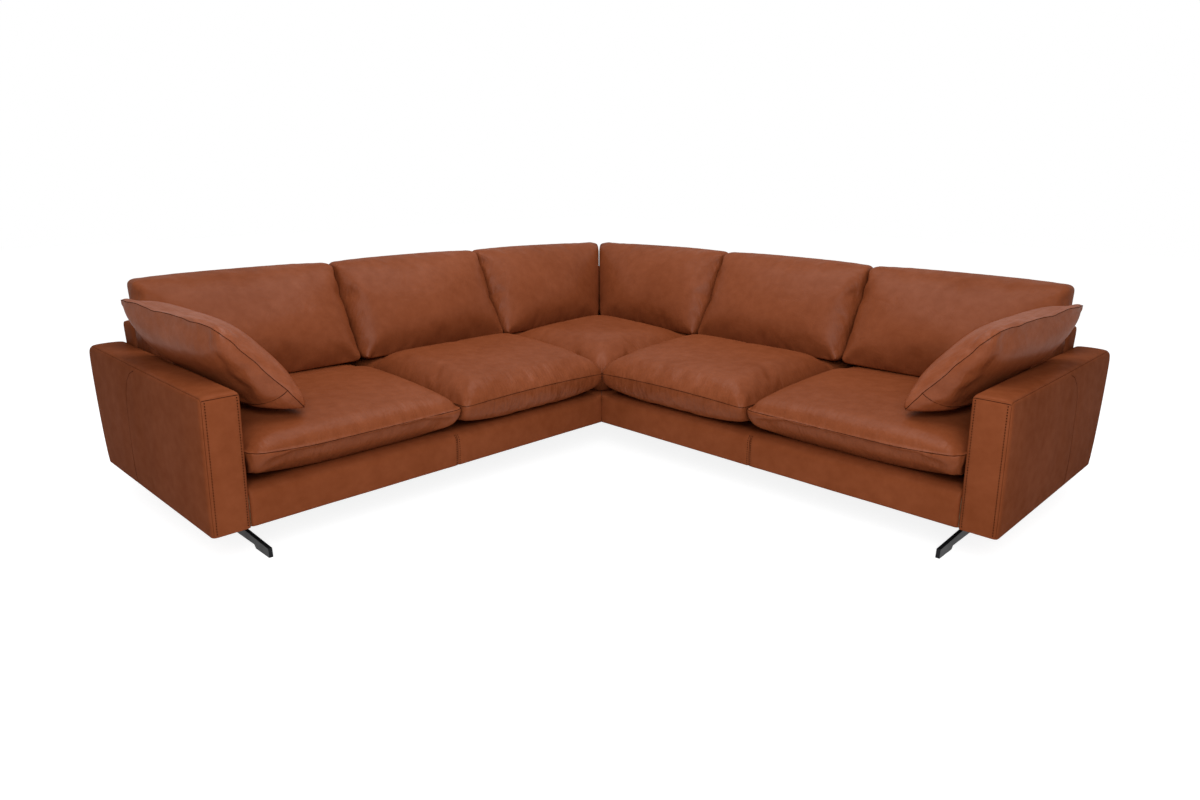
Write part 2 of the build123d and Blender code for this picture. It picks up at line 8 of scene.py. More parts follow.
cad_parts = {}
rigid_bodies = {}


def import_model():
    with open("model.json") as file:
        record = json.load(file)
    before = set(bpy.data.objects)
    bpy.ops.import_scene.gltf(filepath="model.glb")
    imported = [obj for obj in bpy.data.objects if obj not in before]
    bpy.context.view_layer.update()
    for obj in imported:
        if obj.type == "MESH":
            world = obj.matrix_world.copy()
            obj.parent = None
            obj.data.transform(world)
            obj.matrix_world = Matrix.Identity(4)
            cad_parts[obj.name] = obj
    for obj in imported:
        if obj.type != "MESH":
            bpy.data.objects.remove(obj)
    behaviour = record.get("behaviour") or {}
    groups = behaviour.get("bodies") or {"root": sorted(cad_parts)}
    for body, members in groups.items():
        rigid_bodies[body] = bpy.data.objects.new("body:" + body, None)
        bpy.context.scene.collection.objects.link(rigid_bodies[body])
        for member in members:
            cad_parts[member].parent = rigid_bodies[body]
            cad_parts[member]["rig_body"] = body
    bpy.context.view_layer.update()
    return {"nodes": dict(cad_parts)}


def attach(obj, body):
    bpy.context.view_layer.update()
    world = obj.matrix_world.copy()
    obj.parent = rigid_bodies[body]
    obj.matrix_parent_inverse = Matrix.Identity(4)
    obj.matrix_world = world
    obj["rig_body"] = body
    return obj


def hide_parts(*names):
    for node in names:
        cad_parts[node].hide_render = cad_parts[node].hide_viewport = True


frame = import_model()

# Timber seat base, arm frames and back frames: sawn softwood rails and boards, glued and screwed.
# They are closed in by the leather and cloth, and the grain runs along each board.


def new_finish(name, color, roughness):
    """A material with its plain colour and roughness, and its shader."""
    material = bpy.data.materials.new(name)
    material.use_nodes = True
    shader = material.node_tree.nodes["Principled BSDF"]
    shader.inputs["Base Color"].default_value = (*color, 1)
    shader.inputs["Roughness"].default_value = roughness
    return material, shader


def new_node(tree, kind, settings, **sockets):
    """A shader node with its settings and the plain values of its sockets."""
    made = tree.nodes.new(kind)
    for key, value in settings.items():
        setattr(made, key, value)
    for key, value in sockets.items():
        made.inputs[key.replace("_", " ")].default_value = value
    return made


def dress(names, material):
    for name in names:
        frame["nodes"][name].material_slots[0].material = material


def sawn_timber(name, across):
    """Pale softwood whose grain lines lie across the given axes."""
    material, shader = new_finish(name, (0.55, 0.38, 0.21), 0.7)
    tree = material.node_tree
    place = new_node(tree, "ShaderNodeTexCoord", {})
    stretch = new_node(tree, "ShaderNodeMapping", {}, Scale=across)
    rings = new_node(tree, "ShaderNodeTexNoise", {}, Scale=1.0, Detail=6.0, Distortion=0.6)
    tint = new_node(tree, "ShaderNodeValToRGB", {})
    tint.color_ramp.elements[0].color = (0.36, 0.21, 0.10, 1)
    tint.color_ramp.elements[0].position = 0.3
    tint.color_ramp.elements[1].color = (0.64, 0.46, 0.27, 1)
    tint.color_ramp.elements[1].position = 0.7
    saw = new_node(tree, "ShaderNodeBump", {}, Strength=0.4, Distance=0.0006)
    tree.links.new(place.outputs["Object"], stretch.inputs["Vector"])
    tree.links.new(stretch.outputs["Vector"], rings.inputs["Vector"])
    tree.links.new(rings.outputs["Fac"], tint.inputs["Fac"])
    tree.links.new(rings.outputs["Fac"], saw.inputs["Height"])
    tree.links.new(tint.outputs["Color"], shader.inputs["Base Color"])
    tree.links.new(saw.outputs["Normal"], shader.inputs["Normal"])
    return material


timber_along_x = sawn_timber("timber_along_x", (3, 90, 90))
timber_along_y = sawn_timber("timber_along_y", (90, 3, 90))
for board in ("front_rail", "spring_rail", "back_frame", "corner_back_frame"):
    dress([f"right_{board}"], timber_along_x)
    dress([f"left_{board}"], timber_along_y)
for board in ("cross_rails", "arm_frame"):
    dress([f"right_{board}"], timber_along_y)
    dress([f"left_{board}"], timber_along_x)
dress(["corner_rails"], timber_along_y)

# Springs, clips, bolts, screws and connectors: drawn spring wire and zinc-plated pressings,
# with a faint uneven sheen from the drawing and the plating.


def worn_metal(name, dark, light, roughness):
    material, shader = new_finish(name, light, roughness)
    tree = material.node_tree
    shader.inputs["Metallic"].default_value = 1.0
    place = new_node(tree, "ShaderNodeTexCoord", {})
    cloud = new_node(tree, "ShaderNodeTexNoise", {}, Scale=60.0, Detail=4.0)
    tint = new_node(tree, "ShaderNodeValToRGB", {})
    tint.color_ramp.elements[0].color = (*dark, 1)
    tint.color_ramp.elements[1].color = (*light, 1)
    dull = new_node(tree, "ShaderNodeMapRange", {}, To_Min=roughness - 0.1, To_Max=roughness + 0.15)
    tree.links.new(place.outputs["Object"], cloud.inputs["Vector"])
    tree.links.new(cloud.outputs["Fac"], tint.inputs["Fac"])
    tree.links.new(cloud.outputs["Fac"], dull.inputs["Value"])
    tree.links.new(tint.outputs["Color"], shader.inputs["Base Color"])
    tree.links.new(dull.outputs["Result"], shader.inputs["Roughness"])
    return material


spring_wire = worn_metal("spring_wire", (0.16, 0.16, 0.17), (0.34, 0.34, 0.35), 0.4)
dress(["right_seat_springs", "left_seat_springs", "corner_springs"], spring_wire)
zinc = worn_metal("zinc_plate", (0.42, 0.42, 0.40), (0.66, 0.66, 0.63), 0.38)
dress(["spring_clips", "arm_bolts", "leg_screws", "connector_plates", "connector_hooks"], zinc)

# Decks, dust covers, webbing and felt glides: woven or pressed cloth, stapled to the timber.
# The threads of the weave lie along the sofa's two directions.
weave = bpy.data.node_groups.new("weave", "ShaderNodeTree")
weave.interface.new_socket("Scale", in_out="INPUT", socket_type="NodeSocketFloat")
weave.interface.new_socket("Mask", in_out="OUTPUT", socket_type="NodeSocketFloat")
weave_in = new_node(weave, "NodeGroupInput", {})
weave_out = new_node(weave, "NodeGroupOutput", {})
weave_place = new_node(weave, "ShaderNodeTexCoord", {})
warp = new_node(weave, "ShaderNodeTexWave", {"bands_direction": "X"}, Distortion=0.3)
weft = new_node(weave, "ShaderNodeTexWave", {"bands_direction": "Y"}, Distortion=0.3)
crossing = new_node(weave, "ShaderNodeMath", {"operation": "MULTIPLY"})
for threads in (warp, weft):
    weave.links.new(weave_place.outputs["Object"], threads.inputs["Vector"])
    weave.links.new(weave_in.outputs["Scale"], threads.inputs["Scale"])
weave.links.new(warp.outputs["Fac"], crossing.inputs[0])
weave.links.new(weft.outputs["Fac"], crossing.inputs[1])
weave.links.new(crossing.outputs["Value"], weave_out.inputs["Mask"])


def woven(name, dark, light, scale):
    material, shader = new_finish(name, light, 0.9)
    tree = material.node_tree
    threads = new_node(tree, "ShaderNodeGroup", {"node_tree": weave}, Scale=scale)
    tint = new_node(tree, "ShaderNodeMix", {"data_type": "RGBA"})
    tint.inputs[6].default_value = (*dark, 1)
    tint.inputs[7].default_value = (*light, 1)
    relief = new_node(tree, "ShaderNodeBump", {}, Strength=0.5, Distance=0.0005)
    tree.links.new(threads.outputs["Mask"], tint.inputs[0])
    tree.links.new(threads.outputs["Mask"], relief.inputs["Height"])
    tree.links.new(tint.outputs[2], shader.inputs["Base Color"])
    tree.links.new(relief.outputs["Normal"], shader.inputs["Normal"])
    return material


deck_cloth = woven("deck_cloth", (0.018, 0.013, 0.010), (0.05, 0.035, 0.026), 260)
dress(["right_seat_deck", "left_seat_deck", "corner_deck"], deck_cloth)
dust_cloth = woven("dust_cloth", (0.006, 0.006, 0.006), (0.020, 0.020, 0.020), 420)
dress(["right_dust_cover", "left_dust_cover", "corner_dust_cover"], dust_cloth)
dress(["back_webbing"], woven("webbing_strap", (0.25, 0.20, 0.13), (0.48, 0.40, 0.27), 180))
dress(["glides"], woven("felt", (0.03, 0.028, 0.026), (0.07, 0.065, 0.06), 700))

# Blade legs and support feet: steel blades under a black satin powder coat, and moulded plastic feet.
# The coat has a fine orange-peel skin, and the blade's edges are eased so that they catch the light.


def black_coat(name, color, roughness, peel):
    material, shader = new_finish(name, color, roughness)
    shader.inputs["Specular IOR Level"].default_value = 0.14
    tree = material.node_tree
    place = new_node(tree, "ShaderNodeTexCoord", {})
    skin = new_node(tree, "ShaderNodeTexNoise", {}, Scale=peel, Detail=2.0)
    dust = new_node(tree, "ShaderNodeTexNoise", {}, Scale=14.0, Detail=5.0)
    dull = new_node(tree, "ShaderNodeMapRange", {}, To_Min=roughness - 0.08, To_Max=roughness + 0.12)
    tint = new_node(tree, "ShaderNodeValToRGB", {})
    tint.color_ramp.elements[0].color = (*color, 1)
    tint.color_ramp.elements[0].position = 0.45
    tint.color_ramp.elements[1].color = (*[share * 1.8 for share in color], 1)
    relief = new_node(tree, "ShaderNodeBump", {}, Strength=0.12, Distance=0.0003)
    tree.links.new(place.outputs["Object"], skin.inputs["Vector"])
    tree.links.new(place.outputs["Object"], dust.inputs["Vector"])
    tree.links.new(dust.outputs["Fac"], tint.inputs["Fac"])
    tree.links.new(dust.outputs["Fac"], dull.inputs["Value"])
    tree.links.new(skin.outputs["Fac"], relief.inputs["Height"])
    tree.links.new(tint.outputs["Color"], shader.inputs["Base Color"])
    tree.links.new(dull.outputs["Result"], shader.inputs["Roughness"])
    tree.links.new(relief.outputs["Normal"], shader.inputs["Normal"])
    return material


legs = ["right_front_leg", "right_rear_leg", "left_front_leg", "left_rear_leg"]
dress(legs, black_coat("black_satin_coat", (0.007, 0.007, 0.008), 0.40, 900))
dress(["support_feet"], black_coat("black_plastic", (0.012, 0.012, 0.012), 0.55, 500))
for leg in legs:
    joined = frame["nodes"][leg].modifiers.new("joined", "WELD")
    joined.merge_threshold = 0.00005
    eased = frame["nodes"][leg].modifiers.new("eased", "BEVEL")
    eased.width = 0.0011
    eased.segments = 2
    eased.limit_method = "ANGLE"
    eased.angle_limit = math.radians(35)

# Front aprons: leather over thin padding on the front rails, rolled over the rail's top edge.
# Each wing's apron is sewn from two lengths, and the seam stands a little in from the surface.


half_side = 1.405


def at(u, v, z):
    """A point u along the right wing from the outer corner, v out from the back, and z up."""
    return Vector((u - half_side, half_side - v, z))


def wing_place(point):
    """How far along the right wing a point lies, and how far out from the back."""
    return point.x + half_side, half_side - point.y


def sliced_block(cuts):
    """A unit block, cut at the given shares along each axis into a net of quads."""
    block = bmesh.new()
    bmesh.ops.create_cube(block, size=1, matrix=Matrix.Translation((0.5, 0.5, 0.5)))
    for axis, shares in enumerate(cuts):
        normal = Vector([float(axis == number) for number in range(3)])
        for share in shares:
            whole = block.verts[:] + block.edges[:] + block.faces[:]
            bmesh.ops.bisect_plane(block, geom=whole, dist=1e-6, plane_co=normal * share, plane_no=normal)
    return block


def spaced(length, step, ends):
    """Shares of a length: even steps, with closer cuts at given distances from both ends."""
    middle = length - 2 * ends[-1]
    count = max(1, round(middle / step))
    places = [ends[-1] + middle * number / count for number in range(1, count)]
    places += list(ends) + [length - end for end in ends]
    return [place / length for place in sorted(places)]


hide = bpy.data.node_groups.new("hide", "ShaderNodeTree")
for output, kind in (("Color", "Color"), ("Roughness", "Float"), ("Satin", "Float"), ("Height", "Float")):
    hide.interface.new_socket(output, in_out="OUTPUT", socket_type=f"NodeSocket{kind}")
hide_out = new_node(hide, "NodeGroupOutput", {})
hide_place = new_node(hide, "ShaderNodeTexCoord", {})
tanning = new_node(hide, "ShaderNodeTexNoise", {}, Scale=3.2, Detail=5.0, Roughness=0.55)
patches = new_node(hide, "ShaderNodeTexNoise", {}, Scale=26.0, Detail=4.0, Roughness=0.6)
pebbles = new_node(hide, "ShaderNodeTexVoronoi", {}, Scale=480.0)
pores = new_node(hide, "ShaderNodeTexNoise", {}, Scale=230.0, Detail=2.0)
tone = new_node(hide, "ShaderNodeMath", {"operation": "MULTIPLY_ADD"})
tone.inputs[1].default_value = 0.45
tone_base = new_node(hide, "ShaderNodeMath", {"operation": "MULTIPLY"})
tone_base.inputs[1].default_value = 0.55
hide_tint = new_node(hide, "ShaderNodeValToRGB", {})
hide_tint.color_ramp.elements[0].color = (0.158, 0.0385, 0.0122, 1)
hide_tint.color_ramp.elements[0].position = 0.28
hide_tint.color_ramp.elements[1].color = (0.222, 0.0595, 0.0216, 1)
hide_tint.color_ramp.elements[1].position = 0.72
hide_sheen = new_node(hide, "ShaderNodeMapRange", {}, To_Min=0.44, To_Max=0.60)
grain = new_node(hide, "ShaderNodeMath", {"operation": "MULTIPLY_ADD"})
grain.inputs[1].default_value = 0.6
for cloud in (tanning, patches, pebbles, pores):
    hide.links.new(hide_place.outputs["Object"], cloud.inputs["Vector"])
hide.links.new(tanning.outputs["Fac"], tone_base.inputs[0])
hide.links.new(patches.outputs["Fac"], tone.inputs[0])
hide.links.new(tone_base.outputs["Value"], tone.inputs[2])
hide.links.new(tone.outputs["Value"], hide_tint.inputs["Fac"])
hide.links.new(tone.outputs["Value"], hide_sheen.inputs["Value"])
hide.links.new(pebbles.outputs["Distance"], grain.inputs[0])
hide.links.new(pores.outputs["Fac"], grain.inputs[2])
hide.links.new(hide_tint.outputs["Color"], hide_out.inputs["Color"])
hide.links.new(hide_sheen.outputs["Result"], hide_out.inputs["Roughness"])
hide.links.new(tone.outputs["Value"], hide_out.inputs["Satin"])
hide.links.new(grain.outputs["Value"], hide_out.inputs["Height"])


def tanned_leather(name, satin, plain=None):
    """Cognac hide: mottled tanning, a fine pebbled grain and a satin finish in the given range."""
    material, shader = new_finish(name, plain or (0.19, 0.046, 0.015), 0.52)
    tree = material.node_tree
    skin = new_node(tree, "ShaderNodeGroup", {"node_tree": hide})
    relief = new_node(tree, "ShaderNodeBump", {}, Strength=0.30, Distance=0.0005)
    shader.inputs["Specular IOR Level"].default_value = 0.0
    shader.inputs["Coat Roughness"].default_value = 0.36
    if plain is None:
        tree.links.new(skin.outputs["Color"], shader.inputs["Base Color"])
        finish = new_node(tree, "ShaderNodeMapRange", {}, To_Min=satin[0], To_Max=satin[1])
        tree.links.new(skin.outputs["Satin"], finish.inputs["Value"])
        tree.links.new(finish.outputs["Result"], shader.inputs["Coat Weight"])
    tree.links.new(skin.outputs["Roughness"], shader.inputs["Roughness"])
    tree.links.new(skin.outputs["Height"], relief.inputs["Height"])
    tree.links.new(relief.outputs["Normal"], shader.inputs["Normal"])
    tree.links.new(relief.outputs["Normal"], shader.inputs["Coat Normal"])
    return material, relief


leather = tanned_leather("leather", (0.0, 0.09))[0]
seam_shade = tanned_leather("seam_shade", (0.0, 0.0), (0.036, 0.009, 0.0045))[0]
thread = woven("thread", (0.010, 0.003, 0.0015), (0.022, 0.006, 0.003), 900)
thread.node_tree.nodes["Principled BSDF"].inputs["Specular IOR Level"].default_value = 0.0


def finished(block, name, body, material, nodes=(), levels=1):
    """The block as a smooth leather piece on its body, in place of the nodes."""
    bmesh.ops.recalc_face_normals(block, faces=block.faces[:])
    mesh = bpy.data.meshes.new(name)
    block.to_mesh(mesh)
    block.free()
    for face in mesh.polygons:
        face.use_smooth = True
    return placed(mesh, name, body, material, nodes, levels)


def placed(mesh, name, body, material, nodes=(), levels=1):
    piece = bpy.data.objects.new(name, mesh)
    bpy.context.scene.collection.objects.link(piece)
    if not mesh.materials:
        mesh.materials.append(material)
    if levels:
        smooth = piece.modifiers.new("smooth", "SUBSURF")
        smooth.levels = levels
        smooth.render_levels = levels
        smooth.uv_smooth = "NONE"
    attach(piece, body)
    if nodes:
        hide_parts(*nodes)
    return piece


mitre = Matrix(((0, -1, 0, 0), (-1, 0, 0, 0), (0, 0, 1, 0), (0, 0, 0, 1)))


def left_twin(piece, nodes=(), levels=1):
    """The same piece on the left wing, mirrored about the corner's diagonal."""
    mesh = piece.data.copy()
    mesh.transform(mitre)
    mesh.flip_normals()
    for layer in mesh.uv_layers:
        for corner in layer.data:
            corner.uv = (corner.uv[1], corner.uv[0])
    body = piece["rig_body"].replace("right_", "left_")
    return placed(mesh, piece.name.replace("right_", "left_"), body, None, nodes, levels)


def seam(points, name, body, width=0.0011):
    """A sewn seam: the dark line where two hides meet, half sunk between them."""
    line = bpy.data.curves.new(name, "CURVE")
    line.dimensions = "3D"
    line.bevel_depth = width
    line.bevel_resolution = 1
    path = line.splines.new("POLY")
    path.points.add(len(points) - 1)
    for place, point in zip(path.points, points):
        place.co = (*point, 1)
    drawn = bpy.data.objects.new(name, line)
    mesh = bpy.data.meshes.new_from_object(drawn)
    bpy.data.objects.remove(drawn)
    mesh.materials.clear()
    mesh.materials.append(seam_shade)
    return placed(mesh, name, body, seam_shade, levels=0)


def stitches(points, out, name, body, pitch=0.0092):
    """A row of thread stitches along a path, each a short bead that dips at both ends."""
    row = bmesh.new()
    left_over = 0.0
    for start, end in zip(points, points[1:]):
        run = end - start
        place = left_over
        while place < run.length:
            turn = run.to_track_quat("Z", "Y").to_matrix().to_4x4()
            spot = Matrix.Translation(start + run.normalized() * place + out) @ turn
            spot = spot @ Matrix.Diagonal((0.0034, 0.0030, pitch * 0.60, 1))
            bmesh.ops.create_icosphere(row, subdivisions=1, radius=0.5, matrix=spot)
            place += pitch
        left_over = place - run.length
    return finished(row, name, body, thread, levels=0)


apron_start, apron_end, apron_seam = 1.0803, 2.6847, 1.875
apron_length = apron_end - apron_start
apron_base, apron_high, apron_face, apron_hem = 0.130, 0.128, 1.080, 0.006
rail_face, rail_top_edge, rail_land, rail_turn = 1.0682, 1.047, 0.900, 0.2395
seam_cuts = [(apron_seam + off - apron_start) / apron_length for off in (-0.014, -0.005, 0, 0.005, 0.014)]
apron = sliced_block((
    sorted(spaced(apron_length, 0.032, (0.003, 0.009, 0.022)) + seam_cuts),
    (0.3, 0.55, 0.68, 0.79, 0.88, 0.95),
    spaced(apron_high, 0.018, (0.003, 0.010, 0.022)),
))


def apron_front(u, z):
    """How far out the apron's face stands."""
    face = apron_face + 0.003 * math.sin(math.pi * (z - apron_base) / apron_high)
    roll = 0.003 + 0.027 * min(1, max(0, u - apron_start) / 0.06)
    over = z - (apron_base + apron_high - roll)
    if over > 0:
        face -= roll - math.sqrt(max(roll**2 - over**2, 0))
    under = apron_base + apron_hem - z
    if under > 0:
        face -= apron_hem - math.sqrt(max(apron_hem**2 - under**2, 0))
    for end, ease in ((u - apron_start, 0.0015), (apron_end - u, 0.009)):
        if end < ease:
            face -= ease - math.sqrt(max(ease**2 - (ease - end) ** 2, 0))
    aside = abs(u - apron_seam)
    face -= 0.0042 * math.exp(-((aside / 0.006) ** 2))
    face += 0.0014 * math.exp(-(((aside - 0.022) / 0.016) ** 2))
    return face + 0.0016 * noise.noise(Vector((u * 6, z * 14, 3.1)))


for vert in apron.verts:
    share = vert.co.copy()
    u = apron_start + share.x * apron_length
    z = apron_base + share.z * apron_high
    inner = rail_face if z < rail_turn else rail_top_edge if share.z < 0.999 else rail_land
    v = inner + share.y * (apron_front(u, z) - inner)
    near = min(apron_start, v + 0.0003)
    if share.z > 0.999:
        swell = math.sin(math.pi * min(1, max(0, (v - 0.985) / 0.075)))
        z += 0.0008 + 0.003 * swell * min(1, share.x * 20) ** 3
    vert.co = at(near + share.x * (apron_end - near), v, z)
right_apron = finished(apron, "right_apron_leather", "sofa_frame", leather, ["right_front_apron"])
left_twin(right_apron, ["left_front_apron"])

apron_heights = [0.134 + 0.118 * number / 24 for number in range(25)]
apron_line = [at(apron_seam, apron_front(apron_seam, z) + 0.0004, z) for z in apron_heights]
right_apron_seam = seam(apron_line, "right_apron_seam", "sofa_frame")
left_twin(right_apron_seam, levels=0)
for side, off in (("inner", -0.007), ("outer", 0.007)):
    row = [at(apron_seam + off, apron_front(apron_seam + off, z), z) for z in apron_heights]
    right_row = stitches(row, Vector((0, -0.0002, 0)), f"right_apron_stitches_{side}", "sofa_frame")
    left_twin(right_row, levels=0)

# Arms: leather over padding on a slim timber frame, with a level top and a leaning rear.
# A seam runs along the outer and inner edges, and the front panel is top-stitched inside both.
arm_inner, arm_outer, arm_front, arm_top, arm_base = 2.685, 2.810, 1.080, 0.582, 0.130
arm_lean = math.tan(math.radians(11.7))
arm_corner = 0.05 * (1 - 1 / math.tan(math.radians(39.15)))
arm = sliced_block((
    spaced(0.125, 0.026, (0.0015, 0.0045, 0.009, 0.02)),
    spaced(1.08, 0.034, (0.0015, 0.0045, 0.009, 0.015, 0.022, 0.034, 0.05)),
    spaced(0.452, 0.030, (0.0015, 0.0045, 0.009, 0.015, 0.022, 0.034, 0.05)),
))


def arm_rear(z):
    return arm_corner + (arm_top - z) * arm_lean


def arm_swell(v, z):
    """How far the padding pushes the arm's outer side out."""
    along = min(1, max(0, (v - arm_rear(z)) / (arm_front - arm_rear(z))))
    up = (z - arm_base) / (arm_top - arm_base)
    dome = max(0, 1 - abs(2 * along - 1) ** 6) * max(0, 1 - abs(2 * up - 1) ** 4)
    return 0.0085 * dome**0.8 + 0.0022 * noise.noise(Vector((v * 13, z * 2.6, 1.7))) * dome


def arm_point(share):
    """The arm's surface where a share of its block lies: corners rounded in side view, edges eased."""
    width, high, edge, groove = arm_outer - arm_inner, arm_top - arm_base, 0.017, 0.0022
    z = arm_base + share.z * high
    v = arm_rear(z) + share.y * (arm_front - arm_rear(z))
    to_front, to_top, to_rear = arm_front - v, arm_top - z, v - arm_rear(z)
    inward = Vector((0, 0))
    turns = (
        (to_front, to_top, 0.022, 1, 1),
        (to_rear, to_top, 0.05, -1, 1),
        (to_rear, z - arm_base, 0.022, -1, -1),
    )
    for beside, level, radius, heading, rising in turns:
        if beside < radius and level < radius:
            corner = Vector((heading * (radius - beside), rising * (radius - level)))
            reach = max(abs(corner.x), abs(corner.y))
            if corner.length > 0:
                moved = corner.normalized() * reach
                v += moved.x - corner.x
                z += moved.y - corner.y
                inward = -corner.normalized()
    nearest = min(to_front, to_top, to_rear)
    if inward.length == 0:
        headings = {to_rear: Vector((1, 0)), to_top: Vector((0, -1)), to_front: Vector((-1, 0))}
        inward = headings[nearest]
    across = share.x * width
    beside = min(across, width - across)
    if beside < edge and nearest < edge:
        away = Vector((beside - edge, nearest - edge))
        sunk = groove if beside + nearest < 1e-6 and to_rear > nearest else 0
        rounded = Vector((edge, edge)) + away.normalized() * (edge - sunk)
        across += (rounded.x - beside) * (1 if across < width / 2 else -1)
        v += inward.x * (rounded.y - nearest)
        z += inward.y * (rounded.y - nearest)
    if share.x > 0.999:
        across += arm_swell(v, z)
    if share.y > 0.999:
        v += 0.003 * math.sin(math.pi * share.x) * math.sin(math.pi * share.z)
    if share.z > 0.999:
        z += 0.003 * math.sin(math.pi * share.x)
    v -= 0.012 * math.sin(math.pi * share.z) * (1 - share.y) ** 2
    return at(arm_inner + across, v, z)


for vert in arm.verts:
    vert.co = arm_point(vert.co.copy())
right_arm = finished(arm, "right_arm_leather", "sofa_frame", leather, ["right_arm_cover"])
left_twin(right_arm, ["left_arm_cover"])

rear_to_front = [0.03 + 0.95 * number / 40 for number in range(41)]
rear_to_front += [0.98 + 0.02 * number / 8 for number in range(1, 9)]
top_to_base = [1 - 0.05 * number / 8 for number in range(1, 9)]
top_to_base += [0.95 - 0.94 * number / 24 for number in range(1, 25)]
for side, edge, inset in (("outer", 1, 0.892), ("inner", 0, 0.108)):
    path = [arm_point(Vector((edge, share, 1))) for share in rear_to_front]
    path += [arm_point(Vector((edge, 1, share))) for share in top_to_base]
    left_twin(seam(path, f"right_arm_{side}_seam", "sofa_frame"), levels=0)
    row = [arm_point(Vector((inset, 1, share))) for share in top_to_base[5:]]
    right_row = stitches(row, Vector((0, -0.0006, 0)), f"right_arm_{side}_stitches", "sofa_frame")
    left_twin(right_row, levels=0)
panel_row = [arm_point(Vector((0.04 + 0.92 * number / 24, 1, 0.984))) for number in range(25)]
left_twin(seam(panel_row, "right_arm_panel_seam", "sofa_frame"), levels=0)
side_path = (
    (0.425, 0.134), (0.421, 0.22), (0.417, 0.32), (0.416, 0.42),
    (0.422, 0.475), (0.440, 0.518), (0.474, 0.552), (0.520, 0.570),
)
side_run = []
for (v, z), (w, y) in zip(side_path, side_path[1:]):
    side_run += [(v + (w - v) * number / 6, z + (y - z) * number / 6) for number in range(6)]
side_line = [at(arm_outer + arm_swell(v, z) - 0.0002, v, z) for v, z in side_run]
left_twin(seam(side_line, "right_arm_side_seam", "sofa_frame", 0.0009), levels=0)

# Backs: leather over padding on the leaning back frames, one cover behind each wing and two that
# meet on the mitre behind the corner. Their tops are rounded and they carry the back cushions.


def softened(point, size, radius):
    """A point of a block's surface, moved onto the block with rounded edges."""
    core = Vector([min(max(p, radius), s - radius) for p, s in zip(point, size)])
    away = point - core
    return core + away.normalized() * radius if away.length > 0 else point


back_base, back_top, back_thick, back_round, back_rest = 0.133, 0.660, 0.115, 0.018, 0.117


def back_line(z):
    """Depth of the back's leaning outer face."""
    return (back_top - z) * arm_lean


def back_panel(start, end, mitred):
    length, depth, high = end - start, back_thick, back_top - back_base
    cuts = (0.002, 0.006, back_round)
    panel = sliced_block((
        spaced(length, 0.045, cuts),
        spaced(depth, 0.03, cuts),
        spaced(high, 0.035, cuts),
    ))
    for vert in panel.verts:
        share = vert.co.copy()
        size = Vector((length, depth, high))
        p = softened(Vector([a * b for a, b in zip(share, size)]), size, back_round)
        z = back_base + p.z
        outward = 0.004 * math.sin(math.pi * share.x) * math.sin(math.pi * share.z)
        if share.y < 0.001:
            p.y -= outward
        reach = p.y if z > 0.262 else min(p.y, 0.099)
        v = back_line(z) + reach
        u = start + p.x
        if mitred:
            u = max(u, v + 0.0005)
        vert.co = at(u, v, z)
    return panel


for name, start, end in (("back", 1.0803, 2.6847), ("corner_back", 0.0, 1.0797)):
    panel = back_panel(start, end, name == "corner_back")
    right_panel = finished(panel, f"right_{name}_leather", "sofa_frame", leather, [f"right_{name}_cover"])
    left_twin(right_panel, [f"left_{name}_cover"])

# Seat cushions: loose, crowned and filled with foam and fibre, with one seam round the front lip.
# The hide puckers along that seam, and each cushion rolls down to its neighbours.
creased, creased_grain = tanned_leather("creased_leather", (0.06, 0.30))
creased_tree = creased.node_tree
pull = new_node(creased_tree, "ShaderNodeUVMap", {"uv_map": "pucker"})
pull_parts = new_node(creased_tree, "ShaderNodeSeparateXYZ", {})
crease_place = new_node(creased_tree, "ShaderNodeTexCoord", {})
crease_sum = None
creased_tree.links.new(pull.outputs["UV"], pull_parts.inputs["Vector"])
for axis, scale in (("X", (46, 7, 14)), ("Y", (7, 46, 14))):
    stretch = new_node(creased_tree, "ShaderNodeMapping", {}, Scale=scale)
    folds = new_node(creased_tree, "ShaderNodeTexNoise", {}, Scale=1.0, Detail=3.0, Roughness=0.5)
    strength = new_node(creased_tree, "ShaderNodeMath", {"operation": "MULTIPLY"})
    creased_tree.links.new(crease_place.outputs["Object"], stretch.inputs["Vector"])
    creased_tree.links.new(stretch.outputs["Vector"], folds.inputs["Vector"])
    creased_tree.links.new(folds.outputs["Fac"], strength.inputs[0])
    creased_tree.links.new(pull_parts.outputs[axis], strength.inputs[1])
    if crease_sum is None:
        crease_sum = strength
    else:
        both = new_node(creased_tree, "ShaderNodeMath", {"operation": "ADD"})
        creased_tree.links.new(crease_sum.outputs["Value"], both.inputs[0])
        creased_tree.links.new(strength.outputs["Value"], both.inputs[1])
        crease_sum = both
slack = new_node(
    creased_tree, "ShaderNodeTexNoise", {}, Scale=9.0, Detail=4.0, Roughness=0.55, Distortion=0.9
)
slack_sum = new_node(creased_tree, "ShaderNodeMath", {"operation": "MULTIPLY_ADD"})
slack_sum.inputs[1].default_value = 0.45
creased_tree.links.new(crease_place.outputs["Object"], slack.inputs["Vector"])
creased_tree.links.new(slack.outputs["Fac"], slack_sum.inputs[0])
creased_tree.links.new(crease_sum.outputs["Value"], slack_sum.inputs[2])
folds_relief = new_node(creased_tree, "ShaderNodeBump", {}, Strength=0.8, Distance=0.009)
creased_tree.links.new(slack_sum.outputs["Value"], folds_relief.inputs["Height"])
creased_tree.links.new(folds_relief.outputs["Normal"], creased_grain.inputs["Normal"])


